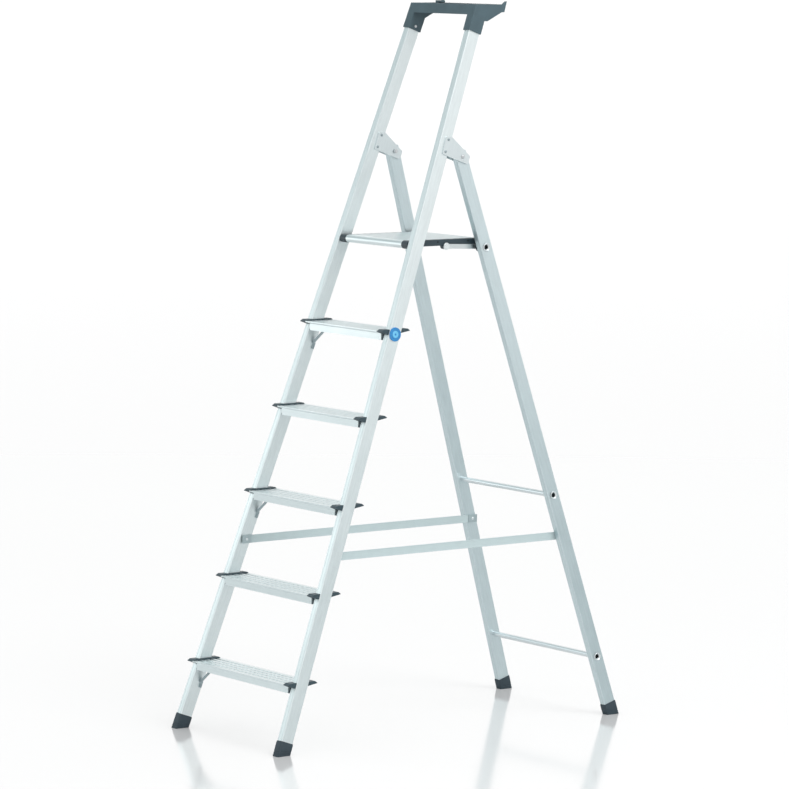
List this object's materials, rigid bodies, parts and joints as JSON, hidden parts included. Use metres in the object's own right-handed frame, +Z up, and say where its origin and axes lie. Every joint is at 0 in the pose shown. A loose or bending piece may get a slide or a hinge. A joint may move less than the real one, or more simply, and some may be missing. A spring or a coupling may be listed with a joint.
{
  "type": "platform step ladder",
  "caption": "Single-sided aluminium step ladder with ribbed treads, folding standing platform, tall grab frame with tool tray and hinged rear support frame.",
  "frame": {"origin": "on the floor, at the middle of the whole ladder's footprint", "axes": "+Z up, +Y the way the user faces while climbing (towards the rear frame), +X to the user's right"},
  "size_m": [0.5614, 1.2596, 2.155],
  "materials": {
    "badge_blue": "moulded disc",
    "badge_light_blue": "moulded insert",
    "bearing_plastic": "acetal",
    "black_steel": "black oxide",
    "cap_plastic": "moulded nylon, fine grain",
    "deck_aluminium": "anodised ribbed platform extrusion",
    "foot_plastic": "moulded, ribbed sole",
    "link_aluminium": "flat bar, satin",
    "rail_plastic": "moulded nylon, fine grain",
    "rivet_aluminium": "pressed rivet heads",
    "rung_aluminium": "anodised round tube, satin",
    "sheet_aluminium": "stamped sheet, satin",
    "stile_aluminium": "clear anodised box section, satin",
    "strap_webbing": "woven polyester webbing",
    "tray_plastic": "moulded polypropylene, fine grain",
    "tread_aluminium": "anodised extrusion with ribs",
    "zinc_steel": "zinc plated"
  },
  "bodies": {
    "front_frame": {"badge_centre": "badge_light_blue", "badge_disc": "badge_blue", "brace_rivets": "rivet_aluminium", "front_foot_left": "foot_plastic", "front_foot_right": "foot_plastic", "front_stile_left": "stile_aluminium", "front_stile_right": "stile_aluminium", "hinge_bolts": "zinc_steel", "hinge_nuts": "zinc_steel", "hinge_plate_inner_left": "sheet_aluminium", "hinge_plate_inner_right": "sheet_aluminium", "hinge_plate_outer_left": "sheet_aluminium", "hinge_plate_outer_right": "sheet_aluminium", "hinge_rivets": "rivet_aluminium", "hinge_washers": "bearing_plastic", "platform_pins": "zinc_steel", "strap_clamps_front": "sheet_aluminium", "strap_left": "strap_webbing", "strap_right": "strap_webbing", "strap_rivets_front": "rivet_aluminium", "tool_tray": "tray_plastic", "tray_screws": "zinc_steel", "tread_1": "tread_aluminium", "tread_2": "tread_aluminium", "tread_3": "tread_aluminium", "tread_4": "tread_aluminium", "tread_5": "tread_aluminium", "tread_braces": "sheet_aluminium", "tread_caps_1": "cap_plastic", "tread_caps_2": "cap_plastic", "tread_caps_3": "cap_plastic", "tread_caps_4": "cap_plastic", "tread_caps_5": "cap_plastic", "tread_screws": "zinc_steel"},
    "rear_frame": {"hinge_bushes": "bearing_plastic", "rear_foot_left": "foot_plastic", "rear_foot_right": "foot_plastic", "rear_stile_left": "stile_aluminium", "rear_stile_right": "stile_aluminium", "rung_bottom": "rung_aluminium", "rung_middle": "rung_aluminium", "rung_top": "rung_aluminium", "strap_clamps_rear": "sheet_aluminium", "strap_rivets_rear": "rivet_aluminium"},
    "platform": {"platform_deck": "deck_aluminium", "platform_rail_left": "rail_plastic", "platform_rail_right": "rail_plastic", "rail_screws": "black_steel"},
    "links": {"link_discs": "rivet_aluminium", "link_eyes": "rail_plastic", "link_left": "link_aluminium", "link_right": "link_aluminium"}
  },
  "joints": [
    {"name": "rear_fold", "type": "hinge", "parent": "front_frame", "child": "rear_frame", "pos_m": [0, 0.08635, 1.70163], "axis": [-1, 0, 0], "range_deg": [0, 36.9], "deforming": ["strap_left", "strap_right"]},
    {"name": "platform_tilt", "type": "hinge", "parent": "front_frame", "child": "platform", "pos_m": [0, -0.08203, 1.448], "axis": [1, 0, 0], "range_deg": [0, 63.91]},
    {"name": "link_swing", "type": "hinge", "parent": "rear_frame", "child": "links", "pos_m": [0, 0.16879, 1.432], "axis": [-1, 0, 0], "range_deg": [0, 48.56]}
  ],
  "couplings": [
    {"joint": "platform_tilt", "follows": "rear_fold", "ratio": 1.7239},
    {"joint": "link_swing", "follows": "rear_fold", "ratio": 1.3079}
  ]
}
